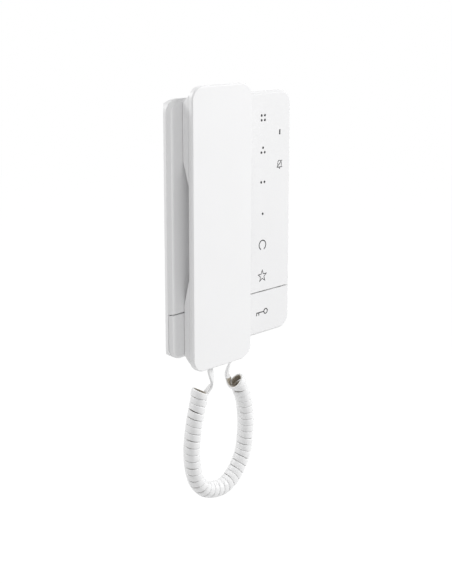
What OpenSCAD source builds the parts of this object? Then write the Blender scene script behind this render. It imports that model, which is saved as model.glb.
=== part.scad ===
// Slim wall phone for a door entry system: a wall base with a strip of keys and a long release key,
// a flat handset that rests in two wells of the base, and the curly cord between them.
// x runs to the right, y into the wall and z up. The origin lies on the wall, behind the base's middle.
// Heights called _h are measured up from the lower edge of the base.

/* [Base] */
// Width of the base
base_w = 123; // [121:0.5:128]
// Height of the base
base_h = 185; // [183:0.5:188]
// Depth from the wall to the front face
base_d = 24; // [23.5:0.5:27]
// Radius of the base's corners
base_r = 10; // [7:0.5:12]
// Bevel round the front face
front_bevel = 1.8; // [1.2:0.1:1.9]
// Thickness of the front panel
panel_t = 2; // [2:0.1:2.4]
// Shadow gap between the front and the rear housing
shadow_gap = 0.4; // [0.3:0.1:0.6]
// Depth of the rear housing's straight rim
rim_d = 3.3; // [2.8:0.1:4]
// Wall of the rim
rim_wall = 2; // [1.6:0.1:2.4]
// How far the rear housing draws in from the rim to the wall
housing_inset = 16; // [14:0.5:17]
// Wall of the tapered part, measured level
taper_wall = 2.8; // [2.2:0.1:3.2]
// Depth of the straight foot at the wall
foot_d = 2.3; // [2.1:0.1:2.6]
// Floor of the rear housing
floor_t = 2; // [1.6:0.1:2.4]
// Width and height of the hole in the floor for the wall cable
window = [36, 32]; // [20:1:40]

/* [Release key] */
// Height of the groove between the panel and the release key
groove_h = 33.6; // [32.6:0.1:36]
// Width of the groove
groove_w = 0.9; // [0.6:0.1:1.2]
// Travel of the release key
release_travel = 0.6; // [0.4:0.1:0.7]
// Radius of the two guide pins
guide_r = 1.5; // [1.2:0.1:1.8]
// Distance of each guide pin from the base's side
guide_in = 8.5; // [7.5:0.5:10]
// Width of the panel's tongue that carries the lower well
tongue_w = 52; // [51:0.5:54]
// Height at which the tongue starts
tongue_h = 6.5; // [5.5:0.1:7]
// Play round the tongue
tongue_gap = 0.5; // [0.3:0.1:0.8]

/* [Keys] */
// Distance of the key column from the base's right side
key_in = 30.5; // [28:0.5:32]
// Distance of the outer column from the base's right side
outer_in = 12.5; // [11:0.1:14]
// Distance of the top key from the base's upper edge
key_margin = 19.2; // [17:0.1:22]
// How far the stem of the outer key stands in from its symbol
mute_in = 4; // [3.5:0.1:5]
// Radius of a key's stem
stem_r = 3; // [2.4:0.1:3.2]
// Radius of a key's head
head_r = 5.4; // [4.8:0.1:5.6]
// Skin left in the panel over a key
skin_t = 0.9; // [0.7:0.1:1.1]
// Travel of a key
key_travel = 0.4; // [0.2:0.05:0.45]
// Radius of a printed dot
dot_r = 0.95; // [0.7:0.05:1.1]
// Distance between two printed dots
dot_pitch = 3.5; // [3:0.1:4]
// Stroke of the printed symbols
stroke = 0.8; // [0.5:0.05:0.9]
// Thickness of the print
print_t = 0.06; // [0.05:0.01:0.1]

/* [Handset] */
// Width of the handset
handset_w = 58; // [57:0.5:60]
// Length of the handset
handset_l = 204; // [200:0.5:208]
// Height of the handset's lower end, below the base's lower edge where negative
handset_h = -10.3; // [-12:0.1:-8]
// Distance of the handset's middle from the base's middle
handset_x = -20; // [-21:0.5:-18]
// Radius of the handset's corners
handset_r = 10; // [8:0.5:12]
// Thickness of the flat body
slab_t = 4.2; // [4:0.1:5]
// How far the ear and mouth blocks stand behind the flat body
block_t = 5.5; // [5:0.1:6.5]
// Wall of the handset's shells
shell_t = 1.6; // [1.4:0.1:1.8]
// Depth of the bosses that go into the wells
boss_d = 4.5; // [4:0.1:5]
// Width and height of the ear boss
ear_boss = [44, 30]; // [28:0.5:44]
// Width and height of the mouth boss
mouth_boss = [40, 20]; // [18:0.5:40]
// Distance of the ear boss's middle from the base's upper edge
ear_drop = 23; // [22:0.5:25]
// Height of the mouth boss's middle
mouth_h = 20; // [19.5:0.1:20.2]
// Play round each boss in its well
well_gap = 0.6; // [0.4:0.1:0.8]
// Gap between the resting handset and the base
seat_gap = 0.3; // [0.2:0.05:0.5]
// Travel of the hook plunger
hook_travel = 2.3; // [1.5:0.1:2.3]

/* [Cord] */
// Outer diameter of the curls
coil_od = 12.4; // [10.5:0.1:13]
// Width of the flat cord
cord_w = 3; // [2.4:0.1:3.2]
// Thickness of the flat cord
cord_t = 2; // [1.6:0.1:2.2]
// Curls between two points of the coil's axis
span_curls = 2; // [1:1:2]
// Where the cord leaves the handset, from the base's middle
cord_x = -27; // [-27.5:0.5:-22]
// Where the cord enters the base, from the base's middle
jack_x = 14; // [13:0.5:15]

/* [Hidden] */
$fn = 48;

WHITE = [0.95, 0.95, 0.95];
PRINT = [0.3, 0.3, 0.31];
STEEL = [0.72, 0.73, 0.74];
BOARD = [0.1, 0.36, 0.22];
BLACK = [0.08, 0.08, 0.09];
RUBBER = [0.75, 0.75, 0.74];
BRASS = [0.8, 0.65, 0.3];

EPS = 0.01;
FIT = 0.1;

// Levels along y, from the front of the base back to the wall
front_y = -base_d;
panel_y = front_y + panel_t;
rim_y = panel_y + shadow_gap;
taper_y = rim_y + rim_d;
bracket_t = 1.5;
wall_play = 0.3;
floor_y = -bracket_t - floor_t;
board_t = 1.6;
standoff_d = 4.9;
board_y = floor_y - standoff_d - board_t;
board_back = board_y + board_t;

// Levels of the handset
block_y = front_y - seat_gap;
slab_y = block_y - block_t;
face_y = slab_y - slab_t;
boss_y = block_y + boss_d;
well_y = boss_y + seat_gap;
well_wall = 1.6;
well_back = well_y + well_wall;
boss_in = boss_y - shell_t;
face_in = face_y + shell_t;

low = -base_h / 2;
high = base_h / 2;
ear_z = high - ear_drop;
mouth_z = low + mouth_h;
slab_z = low + handset_h + handset_l / 2;
groove_z = low + groove_h;
key_x = base_w / 2 - key_in;
outer_x = base_w / 2 - outer_in;
mute_x = outer_x - mute_in;
// The groove lies half a step below the lowest key
key_pitch = (base_h - groove_h - key_margin) / 5.5;
key_z = [for (i = [0:5]) high - key_margin - i * key_pitch];
mute_z = key_z[1] - key_pitch / 2;
light_z = key_z[0] - key_pitch / 2;
guide_x = base_w / 2 - guide_in;
release_z = low + groove_h / 2 + 0.5;
guide_z = low + 16;

foot_w = base_w - 2 * housing_inset;
foot_h = base_h - 2 * housing_inset;
corner_r = min(base_r, handset_r);

// Outline with round corners, drawn in x and z
module rounded(w, h, r) {
    square([w - 2 * r, h], center = true);
    square([w, h - 2 * r], center = true);
    for (sx = [-1, 1], sz = [-1, 1])
        translate([sx * (w / 2 - r), sz * (h / 2 - r)]) circle(r);
}

// Plate with round corners from y0 back to y1
module plate(w, h, r, y0, y1, x = 0, z = 0)
    translate([x, y1, z]) rotate([90, 0, 0]) linear_extrude(y1 - y0) rounded(w, h, r);

// Straight block from y0 back to y1, centred on x and z
module block(w, h, y0, y1, x = 0, z = 0)
    translate([x - w / 2, y0, z - h / 2]) cube([w, y1 - y0, h]);

// Round pin from y0 back to y1
module pin(r, y0, y1, x = 0, z = 0)
    translate([x, y1, z]) rotate([90, 0, 0]) cylinder(r = r, h = y1 - y0);

// Ring from y0 back to y1
module ring(r_out, r_in, y0, y1, x = 0, z = 0)
    difference() {
        pin(r_out, y0, y1, x, z);
        pin(r_in, y0 - 1, y1 + 1, x, z);
    }

// Extrudes an outline drawn in y and z from x0 to x1
module along_x(x0, x1)
    translate([x0, 0, 0]) rotate([90, 0, 90]) linear_extrude(x1 - x0) children();

// Extrudes an outline drawn in x and y from z0 to z1
module along_z(z0, z1)
    translate([0, 0, z0]) linear_extrude(z1 - z0) children();

// Plate whose front edge is bevelled all round
module bevelled(w, h, r, y0, y1, b, x = 0, z = 0)
    translate([x, 0, z]) {
        plate(w, h, r, y0 + b, y1);
        plate(w - 2 * b, h - 2 * b, r - b, y0, y1);
        along_z(r - h / 2, h / 2 - r)
            polygon([[-w / 2, y0 + b], [b - w / 2, y0], [w / 2 - b, y0], [w / 2, y0 + b],
                     [w / 2, y1], [-w / 2, y1]]);
        along_x(r - w / 2, w / 2 - r)
            polygon([[y0 + b, -h / 2], [y0, b - h / 2], [y0, h / 2 - b], [y0 + b, h / 2],
                     [y1, h / 2], [y1, -h / 2]]);
        for (sx = [-1, 1], sz = [-1, 1])
            translate([sx * (w / 2 - r), y0 + b, sz * (h / 2 - r)])
                rotate([90, 0, 0]) cylinder(h = b, r1 = r, r2 = r - b);
    }

// ---- Wall bracket: a folded steel plate with a cable hole, two pairs of screw holes and four hooks
bracket_size = [80, 130];
cable_hole = [44, 36];
box_screws = 60;
wall_screws = 83.5;
screw_hole_r = 2.1;
hook_x = 25;
hook_w = 8;
hook_lip = 3;
hook_z = [54, -46];

module wall_bracket() color(STEEL) {
    difference() {
        plate(bracket_size[0], bracket_size[1], 4, -bracket_t, 0);
        plate(cable_hole[0], cable_hole[1], 4, -bracket_t - 1, 1);
        for (s = [-1, 1]) {
            pin(screw_hole_r, -bracket_t - 1, 1, s * box_screws / 2, 0);
            pin(screw_hole_r, -bracket_t - 1, 1, 0, s * wall_screws / 2);
        }
    }
    for (x = [-hook_x, hook_x], z = hook_z) {
        block(hook_w, bracket_t, floor_y - bracket_t, EPS - bracket_t, x, z);
        block(hook_w, hook_lip + bracket_t, floor_y - bracket_t, floor_y, x, z + hook_lip / 2);
    }
}

// ---- Rear housing: rim, taper and foot as one hollow moulding
function inset_at(y) = housing_inset * (y - taper_y) / (-foot_d - taper_y);

module taper(y0, y1, wall) {
    w = [base_w / 2 - inset_at(y0) - wall, base_w / 2 - inset_at(y1) - wall];
    h = [base_h / 2 - inset_at(y0) - wall, base_h / 2 - inset_at(y1) - wall];
    intersection() {
        along_z(low, high) polygon([[-w[0], y0], [w[0], y0], [w[1], y1], [-w[1], y1]]);
        along_x(-base_w / 2, base_w / 2)
            polygon([[y0, -h[0]], [y0, h[0]], [y1, h[1]], [y1, -h[1]]]);
        plate(base_w - 2 * wall, base_h - 2 * wall, base_r - wall, y0, y1);
    }
}

module housing_body() {
    plate(base_w, base_h, base_r, rim_y, taper_y);
    taper(taper_y, -foot_d, 0);
    plate(foot_w, foot_h, 1, -foot_d, -wall_play);
}

cover_screw_at = [[22 - base_w / 2, ear_z - 28], [22 - base_w / 2, mouth_z + 27],
                  [handset_x + 34, ear_z - 4], [handset_x + 34, mouth_z + 27]];
cover_boss_y = front_y + 8;
board_screw_at = [for (sx = [-1, 1], p = [[19.5, ear_z - 1.5], [23.5, mouth_z + 6.5]])
                  [sx * (base_w / 2 - p[0]), p[1]]];
boss_r = 3.5;
pilot_r = 1.1;
jack_size = [10.5, 8, 13];
jack_mouth_z = low + 9;

module rear_housing() color(WHITE) difference() {
    intersection() {
        housing_body();
        union() {
            difference() {
                housing_body();
                plate(base_w - 2 * rim_wall, base_h - 2 * rim_wall, base_r - rim_wall,
                      rim_y - 1, taper_y + EPS);
                taper(taper_y, floor_y, taper_wall);
            }
            for (p = cover_screw_at) pin(boss_r, cover_boss_y, floor_y + EPS, p[0], p[1]);
            for (p = board_screw_at) pin(boss_r, board_back, floor_y + EPS, p[0], p[1]);
            for (s = [-1, 1]) pin(guide_r + 1.7, taper_y + 1, floor_y, s * guide_x, guide_z);
        }
    }
    plate(bracket_size[0] + 1, bracket_size[1] + 1, 4, -bracket_t, 1);
    block(window[0], window[1], floor_y - 1, 0);
    for (x = [-hook_x, hook_x], z = hook_z)
        block(hook_w + 1, hook_lip + bracket_t + 0.4, floor_y - 1, 0, x,
              z + bracket_t / 2 + FIT - (hook_lip + bracket_t + 0.4) / 2);
    for (p = cover_screw_at) {
        pin(1.6, cover_boss_y - 1, 1, p[0], p[1]);
        pin(2.9, floor_y - 3, 1, p[0], p[1]);
    }
    for (p = board_screw_at) pin(pilot_r, board_back - 1, floor_y - 0.5, p[0], p[1]);
    for (s = [-1, 1]) pin(guide_r + FIT, taper_y, taper_y + 6, s * guide_x, guide_z);
    // Room for the release key to sink
    block(base_w + 2, groove_h + 1, rim_y - 1, rim_y + 0.5, 0, low + groove_h / 2 - 0.5);
    // Mouth for the cord's plug
    translate([jack_x - jack_size[0] / 2 - 0.4, board_y - jack_size[1] - 0.3, low - 1])
        cube([jack_size[0] + 0.8, jack_size[1] + 0.6, 14]);
}

// ---- Front cover: panel, tongue, two wells, lip and the seats behind it
lip_t = 1.4;
lip_gap = 0.3;
lip_d = 3;
ringer_r = 18;
ringer_z = (ear_z + mouth_z) / 2;
slot_l = 22;
slot_w = 1.8;
slot_pitch = 4.5;
hook_at = [handset_x - 14, ear_z - 7.5];
hook_r = 2.2;
magnet_r = 3.5;
magnet_t = 2.5;
magnet_x = 14;
light_size = [1.3, 3.9];
frame_y = panel_y + 2.4;
frame_t = 1.6;
stake_r = 1.2;
stake_at = [[key_x - 4.5, key_z[0] - key_pitch / 2], [key_x - 4.5, key_z[3] - key_pitch / 2],
            [outer_x, key_z[2] - key_pitch / 2], [outer_x, key_z[4] - key_pitch / 2]];

module well(boss, z, grow)
    plate(boss[0] + 2 * (well_gap + grow), boss[1] + 2 * (well_gap + grow), 8 + well_gap + grow,
          grow > 0 ? front_y + EPS : front_y - 1, grow > 0 ? well_back : well_y, handset_x, z);

module key_places(r, y0, y1) {
    for (z = key_z) pin(r, y0, y1, key_x, z);
    pin(r, y0, y1, mute_x, mute_z);
}

module front_panel() bevelled(base_w, base_h, base_r, front_y, panel_y, front_bevel);

module front_cover() color(WHITE) difference() {
    union() {
        intersection() {
            front_panel();
            block(base_w, base_h - groove_h - groove_w / 2, front_y, panel_y, 0,
                  (high + groove_z + groove_w / 2) / 2);
        }
        // Tongue below the groove
        block(tongue_w, groove_h - tongue_h + 1, front_y, panel_y, handset_x,
              low + (tongue_h + groove_h + 1) / 2);
        // Lip inside the rim
        difference() {
            plate(base_w - 2 * (rim_wall + lip_gap), base_h - 2 * (rim_wall + lip_gap),
                  base_r - rim_wall - lip_gap, panel_y - EPS, panel_y + lip_d);
            plate(base_w - 2 * (rim_wall + lip_gap + lip_t), base_h - 2 * (rim_wall + lip_gap + lip_t),
                  base_r - rim_wall - lip_gap - lip_t, panel_y - 1, panel_y + lip_d + 1);
            block(base_w, groove_h + 8, panel_y - 1, panel_y + lip_d + 1, 0, low + groove_h / 2);
        }
        well(ear_boss, ear_z, well_wall);
        well(mouth_boss, mouth_z, well_wall);
        ring(ringer_r + 1.7, ringer_r + 0.2, panel_y - EPS, panel_y + 2, handset_x, ringer_z);
        for (p = cover_screw_at) pin(boss_r, panel_y - EPS, cover_boss_y, p[0], p[1]);
        for (p = stake_at) pin(stake_r, panel_y - EPS, frame_y + frame_t + 0.6, p[0], p[1]);
        for (s = [-1, 1])
            ring(magnet_r + 1.4, magnet_r + FIT, well_back - EPS, well_back + magnet_t,
                 handset_x + s * magnet_x, mouth_z);
    }
    well(ear_boss, ear_z, 0);
    well(mouth_boss, mouth_z, 0);
    for (i = [-2:2])
        plate(slot_l, slot_w, slot_w / 2 - EPS, front_y - 1, panel_y + 1, handset_x,
              ringer_z + i * slot_pitch);
    key_places(head_r + 0.6, front_y + skin_t, panel_y + 1);
    for (p = cover_screw_at) pin(pilot_r, panel_y + 0.5, cover_boss_y + 1, p[0], p[1]);
    pin(hook_r + FIT, well_y - 1, well_back + 1, hook_at[0], hook_at[1]);
    block(light_size[0] + 0.1, light_size[1] + 0.1, front_y - 1, panel_y + 1, outer_x, light_z);
}

// ---- Release key: the lower end of the front, full width, round the tongue
release_tab_x = [7.5 - base_w / 2, handset_x + 44, base_w / 2 - 17.5];
actuator_y = board_y - 4.6;

module release_key() color(WHITE) {
    difference() {
        intersection() {
            front_panel();
            block(base_w, groove_h - groove_w / 2, front_y, panel_y, 0,
                  low + (groove_h - groove_w / 2) / 2);
        }
        block(tongue_w + 2 * tongue_gap, groove_h, front_y - 1, panel_y + 1, handset_x,
              low + tongue_h - tongue_gap + groove_h / 2);
    }
    for (x = release_tab_x)
        difference() {
            block(8, 7, panel_y - EPS, panel_y + 1.4, x, groove_z);
            block(9, 6, panel_y - 1, panel_y + 0.2, x, groove_z + 3 - groove_w / 2);
        }
    for (s = [-1, 1]) pin(guide_r, panel_y - EPS, taper_y + 4.5, s * guide_x, guide_z);
    pin(2.2, panel_y - EPS, actuator_y, key_x, release_z);
}

// ---- Printed symbols
module print_on(x, z)
    translate([x, front_y, z]) rotate([90, 0, 0]) linear_extrude(print_t) children();

module dots(n) {
    half = dot_pitch / 2;
    at = n == 4 ? [[-1, 1], [1, 1], [-1, -1], [1, -1]] * half
       : n == 3 ? [[0, 1], [-1, -1], [1, -1]] * half
       : n == 2 ? [[-1, 0], [1, 0]] * half
       : [[0, 0]];
    for (p = at) translate(p) circle(dot_r, $fn = 24);
}

module open_ring(r, gap_deg)
    difference() {
        circle(r);
        circle(r - stroke);
        polygon([[0, 0], 2 * r * [sin(-gap_deg / 2), -cos(gap_deg / 2)],
                 2 * r * [sin(gap_deg / 2), -cos(gap_deg / 2)]]);
    }

function star(r) = [for (i = [0:9]) (i % 2 == 0 ? r : 0.42 * r) * [sin(36 * i), cos(36 * i)]];

module star_line(r)
    difference() {
        polygon(star(r));
        polygon(star(r - 2 * stroke));
    }

function bell(w, h) = concat(
    [[-w / 2, 0], [-w * 0.36, h * 0.2]],
    [for (a = [180:-20:0]) [w * 0.36 * cos(a), h * 0.6 + w * 0.36 * sin(a)]],
    [[w * 0.36, h * 0.2], [w / 2, 0]]);

module crossed_bell(w, h) {
    s = 0.75 * stroke;
    difference() {
        translate([0, -h / 2]) polygon(bell(w, h));
        translate([0, s - h / 2]) polygon(bell(w - 2.6 * s, h - 1.6 * s));
    }
    translate([0, -h / 2 - s]) circle(s * 0.9, $fn = 24);
    rotate(-48) square([s, h * 1.3], center = true);
}

module key_symbols() color(PRINT) {
    for (i = [0:3]) print_on(key_x, key_z[i]) dots(4 - i);
    print_on(key_x, key_z[4]) open_ring(4, 50);
    print_on(key_x, key_z[5]) star_line(5.4);
    print_on(outer_x, mute_z) crossed_bell(6.2, 5.8);
}

module key_shape(l) {
    ring_r = 2.3;
    translate([l / 2 - ring_r, 0]) difference() {
        circle(ring_r);
        circle(ring_r - stroke);
    }
    translate([-l / 2, -stroke / 2]) square([l - 2 * ring_r + 0.2, stroke]);
    for (x = [0, 2.4]) translate([x - l / 2, -2.2]) square([stroke, 2.2]);
}

module release_symbol() color(PRINT) print_on(key_x, release_z) key_shape(12.5);

// ---- Key frame, key stems and their contacts
module frame_plate(y0, y1)
    plate(outer_x - key_x + 14, key_z[0] - key_z[5] + 18, 3, y0, y1,
          (outer_x + key_x) / 2 - 1, (key_z[0] + key_z[5]) / 2);

module key_frame() color(RUBBER) difference() {
    union() {
        frame_plate(frame_y, frame_y + frame_t);
        for (p = stake_at) pin(2.4, panel_y, frame_y + EPS, p[0], p[1]);
    }
    key_places(stem_r + FIT, frame_y - 1, frame_y + frame_t + 1);
    for (p = stake_at) pin(stake_r + 0.05, panel_y - 1, frame_y + frame_t + 1, p[0], p[1]);
    block(light_size[0] + 0.5, light_size[1] + 0.5, frame_y - 1, frame_y + frame_t + 1,
          outer_x, light_z);
}

contact_t = 0.1;
head_play = 0.15;
tip_play = 0.05;

module key_stem(x, z) color(RUBBER) {
    pin(head_r, front_y + skin_t + head_play, panel_y + 1, x, z);
    pin(stem_r, panel_y, board_y - contact_t - key_travel - tip_play, x, z);
}

module key_one() key_stem(key_x, key_z[3]);
module key_two() key_stem(key_x, key_z[2]);
module key_three() key_stem(key_x, key_z[1]);
module key_four() key_stem(key_x, key_z[0]);
module key_intercom() key_stem(key_x, key_z[4]);
module key_star() key_stem(key_x, key_z[5]);
module key_mute() key_stem(mute_x, mute_z);

module key_contacts() color(BRASS) {
    for (z = key_z) ring(stem_r, 1, board_y - contact_t, board_y, key_x, z);
    ring(1.6, 0.8, board_y - contact_t, board_y, mute_x, mute_z);
}

// ---- Status light
led_t = 1.5;

module status_light_guide() color(PRINT) {
    block(light_size[0], light_size[1], front_y, board_y - led_t - 0.1, outer_x, light_z);
    block(6, 2, board_y - led_t - 1.6, board_y - led_t - 0.1, outer_x + light_size[0] / 2 - 3,
          light_z);
}

module status_led() color([0.9, 0.9, 0.85])
    block(3, 2, board_y - led_t, board_y, board_w / 2 - 1.6, light_z);

// ---- Main board and what is on it
board_w = base_w - 27;
board_low_h = 13;
board_high_h = base_h - 18;

module main_board() color(BOARD) difference() {
    block(board_w, board_high_h - board_low_h, board_y, board_back, 0,
          low + (board_low_h + board_high_h) / 2);
    for (p = cover_screw_at) pin(boss_r + 0.5, board_y - 1, board_back + 1, p[0], p[1]);
    for (p = board_screw_at) pin(1.4, board_y - 1, board_back + 1, p[0], p[1]);
}

module screw(x, z, head_r, head_t, shaft_r, y_seat, y_end) {
    dir = y_end > y_seat ? 1 : -1;
    pin(head_r, min(y_seat, y_seat - dir * head_t), max(y_seat, y_seat - dir * head_t), x, z);
    pin(shaft_r, min(y_seat, y_end), max(y_seat, y_end), x, z);
}

module board_screws() color(STEEL)
    for (p = board_screw_at) screw(p[0], p[1], 2.4, 1.4, pilot_r - 0.05, board_y, floor_y - 1);

module cover_screws() color(STEEL)
    for (p = cover_screw_at)
        screw(p[0], p[1], 2.6, 1.6, pilot_r - 0.05, floor_y - 3, panel_y + 3);

module release_switch() color(BLACK) difference() {
    block(6, 6, board_y - 3.4, board_y, key_x, release_z);
    pin(1.8, board_y - 4, board_y - 1.5, key_x, release_z);
}

module release_switch_stem() color([0.85, 0.3, 0.2])
    pin(1.7, actuator_y, board_y - 2.4, key_x, release_z);

terminal_z = 9;

module terminal_block() color([0.2, 0.45, 0.3]) difference() {
    block(20, 8, board_back, -bracket_t - 1, 0, terminal_z);
    for (i = [-1.5:1.5]) {
        pin(1.5, -bracket_t - 3.5, 0, i * 4.8, terminal_z + 1);
        block(2.6, 3, board_back + 1, -bracket_t - 3.8, i * 4.8, terminal_z - 3);
    }
}

module terminal_screws() color(STEEL)
    for (i = [-1.5:1.5]) pin(1.4, -bracket_t - 3.5, -bracket_t - 1.6, i * 4.8, terminal_z + 1);

module line_transformer() color([0.25, 0.25, 0.27]) {
    block(14, 12, board_y - 7, board_y, -10, -42);
    block(9, 13.4, board_y - 5.8, board_y - 1.2, -10, -42);
}

module capacitors() color([0.2, 0.22, 0.3])
    for (z = [-37, -47]) pin(3.2, board_y - 7, board_y, 2, z);

module controller_chip() color(BLACK)
    block(10, 10, board_y - 1.2, board_y, -26, -40);

// ---- Ringer behind the slots
module ringer_basket() color(BLACK)
    translate([handset_x, panel_y, ringer_z]) rotate([-90, 0, 0])
        scale(ringer_r / 18) rotate_extrude()
            polygon([[16, 0], [18, 0], [18, 1.2], [10.5, 5.4], [9, 5.4],
                     [9, 4.4], [10, 4.4], [16, 1]]);

module ringer_cone() color([0.3, 0.3, 0.3])
    translate([handset_x, panel_y, ringer_z]) rotate([-90, 0, 0])
        scale(ringer_r / 18) rotate_extrude()
            polygon([[0, 2.6], [5, 3.4], [15.9, 0.2], [15.9, 0.6], [5, 3.9], [0, 3.1]]);

module ringer_magnet() color(STEEL)
    pin(ringer_r / 2, panel_y + 0.3 * ringer_r, panel_y + 0.3 * ringer_r + 3, handset_x, ringer_z);

// ---- Hook plunger and its switch
switch_top = board_y - 4;

module hook_plunger() color(WHITE) {
    pin(hook_r, well_y - 0.05, switch_top - 0.3, hook_at[0], hook_at[1]);
    pin(hook_r + 1.6, well_back + hook_travel + 0.2, switch_top - 0.2, hook_at[0], hook_at[1]);
}

module hook_switch() color(BLACK) {
    block(12.8, 5.8, switch_top + 0.6, board_y, hook_at[0], hook_at[1]);
    pin(1.2, switch_top, switch_top + 0.7, hook_at[0], hook_at[1]);
}

module base_magnets() color(STEEL)
    for (s = [-1, 1])
        pin(magnet_r, well_back, well_back + magnet_t, handset_x + s * magnet_x, mouth_z);

// ---- Jack in the base and the plug on the cord
plug_size = [7.7, 6.4];
plug_y = board_y - 4;
boot_len = 4;

module cord_jack() color(BLACK) difference() {
    block(jack_size[0], jack_size[2], board_y - jack_size[1], board_y, jack_x,
          jack_mouth_z + jack_size[2] / 2);
    block(plug_size[0] + 0.2, jack_size[2], plug_y - plug_size[1] / 2 - FIT,
          plug_y + plug_size[1] / 2 + FIT, jack_x, jack_mouth_z + jack_size[2] / 2 - 1.5);
}

module cord_plug() color([0.9, 0.9, 0.92, 0.6]) {
    block(plug_size[0], 12, plug_y - plug_size[1] / 2, plug_y + plug_size[1] / 2, jack_x,
          jack_mouth_z + 5);
    block(5, boot_len + 1, plug_y - 1.8, plug_y + 1.8, jack_x,
          jack_mouth_z - 1 - (boot_len - 1) / 2);
}

// ---- Handset shells
edge_b = 0.8;
rim_play = 0.15;
part_line = 0.2;
bulge_d = 3.6;
bulge_w = [46, 38];
ear_flat = [base_h - ear_drop - 20, base_h - ear_drop + 20];
ear_run = 17;
mouth_flat = [1.7, 39];
mouth_run = 21;
end_run = 5.8;
column_x = 24.5;
handset_screw_at = [for (s = [-1, 1], z = [ear_z, mouth_z]) [handset_x + s * column_x, z]];
screw_seat = block_y - 2.5;

module handset_front_shell() color(WHITE) {
    difference() {
        bevelled(handset_w, handset_l, handset_r, face_y, slab_y, edge_b, handset_x, slab_z);
        plate(handset_w - 2 * shell_t, handset_l - 2 * shell_t, handset_r - shell_t,
              face_in, slab_y + 1, handset_x, slab_z);
    }
    for (p = handset_screw_at)
        ring(2.4, 1.05, face_in - EPS, slab_y + part_line / 2, p[0], p[1]);
    ring(12.6, 11, face_in - EPS, receiver_y, handset_x, ear_z);
    for (s = [-1, 1]) block(1.2, 40, face_in - EPS, face_in + 2.4, handset_x + s * 15.8, slab_z);
}

// Side view of a block behind the flat body, from y0 back to y1, drawn in y and z.
// ends: heights of the flat part; runs: how far each slope runs out, lower and upper
module block_side(ends, runs, y0, y1, in = 0) {
    f = (block_y - y0) / block_t;
    g = (block_y - y1) / block_t;
    polygon([[y0, low + ends[0] - f * runs[0] + in], [y1, low + ends[0] - g * runs[0] + in],
             [y1, low + ends[1] + g * runs[1] - in], [y0, low + ends[1] + f * runs[1] - in]]);
}

module blocks(y0, y1, in = 0) {
    along_x(handset_x - handset_w / 2, handset_x + handset_w / 2)
        block_side(ear_flat, [ear_run, end_run], y0, y1, in);
    along_x(handset_x - handset_w / 2, handset_x + handset_w / 2)
        block_side(mouth_flat, [end_run, mouth_run], y0, y1, in);
}

module bulge(y0, y1, in)
    along_z(low + mouth_flat[1] + 6, low + ear_flat[0] - 3)
        polygon([for (p = [[-1, 0], [1, 0], [1, 1], [-1, 1]])
            [handset_x + p[0] * (bulge_w[p[1]] / 2 - in), p[1] == 0 ? y0 : y1]]);

module inner_outline(in, y0, y1)
    plate(handset_w - 2 * (shell_t + rim_play + in), handset_l - 2 * (shell_t + rim_play + in),
          handset_r - shell_t - rim_play - in, y0, y1, handset_x, slab_z);

grommet = [6.4, 3.2];
grommet_y = slab_y + 2.2;
grommet_low = low - 7.5;
grommet_top = low + 4.2;

module handset_back_shell() color(WHITE) difference() {
    union() {
        difference() {
            union() {
                inner_outline(0, slab_y - 1.4, slab_y);
                intersection() {
                    blocks(slab_y - 0.5, slab_y + part_line + 0.1);
                    inner_outline(0, slab_y - 0.5, slab_y + part_line + 0.1);
                }
                intersection() {
                    blocks(slab_y + part_line, block_y);
                    plate(handset_w, handset_l, handset_r, slab_y, block_y, handset_x, slab_z);
                }
                bulge(slab_y - EPS, slab_y + bulge_d, 0);
                plate(ear_boss[0], ear_boss[1], 8, block_y - 1, boss_y, handset_x, ear_z);
                plate(mouth_boss[0], mouth_boss[1], 8, block_y - 1, boss_y, handset_x, mouth_z);
            }
            intersection() {
                translate([0, -shell_t, 0]) blocks(slab_y - 1, block_y, 0.7);
                inner_outline(1.2, slab_y - 4, block_y);
            }
            translate([0, -shell_t, 0]) bulge(slab_y - 1, slab_y + bulge_d, 1.8);
            plate(ear_boss[0] - 2 * shell_t, ear_boss[1] - 2 * shell_t, 8 - shell_t,
                  slab_y, boss_in, handset_x, ear_z);
            plate(mouth_boss[0] - 2 * shell_t, mouth_boss[1] - 2 * shell_t, 8 - shell_t,
                  slab_y, boss_in, handset_x, mouth_z);
        }
        for (p = handset_screw_at) pin(3.2, slab_y + part_line, block_y - 1, p[0], p[1]);
        ring(7.2, 6.1, boss_in - 3, boss_in + EPS, handset_x, mouth_z);
        for (s = [-1, 1])
            ring(magnet_r + 1.2, magnet_r + FIT, boss_in - 2, boss_in + EPS,
                 handset_x + s * magnet_x, mouth_z);
    }
    for (p = handset_screw_at) {
        pin(1.2, slab_y - 2, block_y + 1, p[0], p[1]);
        pin(2.3, screw_seat, block_y + 1, p[0], p[1]);
        pin(2.6, slab_y - 2, slab_y + part_line, p[0], p[1]);
    }
    pin(1.1, boss_in - 1, boss_y + 1, handset_x, ear_z);
    for (a = [0:60:300])
        pin(1.1, boss_in - 1, boss_y + 1, handset_x + 5 * cos(a), ear_z + 5 * sin(a));
    pin(1, boss_in - 1, boss_y + 1, handset_x, mouth_z);
    // Mouth for the cord's grommet
    block(grommet[0] + 0.1, 12, grommet_y - grommet[1] / 2 - 0.05, grommet_y + grommet[1] / 2 + 0.05,
          cord_x, low - 3);
}

// ---- Inside the handset
gasket_t = 0.8;
receiver_y = boss_in - gasket_t - 7.3;

module receiver_capsule() color(BLACK) {
    pin(12.8, receiver_y, boss_in - gasket_t, handset_x, ear_z);
}

module receiver_gasket() color(RUBBER)
    ring(12.8, 9, boss_in - gasket_t, boss_in, handset_x, ear_z);

module microphone() color(STEEL)
    pin(4.8, boss_in - 4.6, boss_in - 0.8, handset_x, mouth_z);

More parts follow.
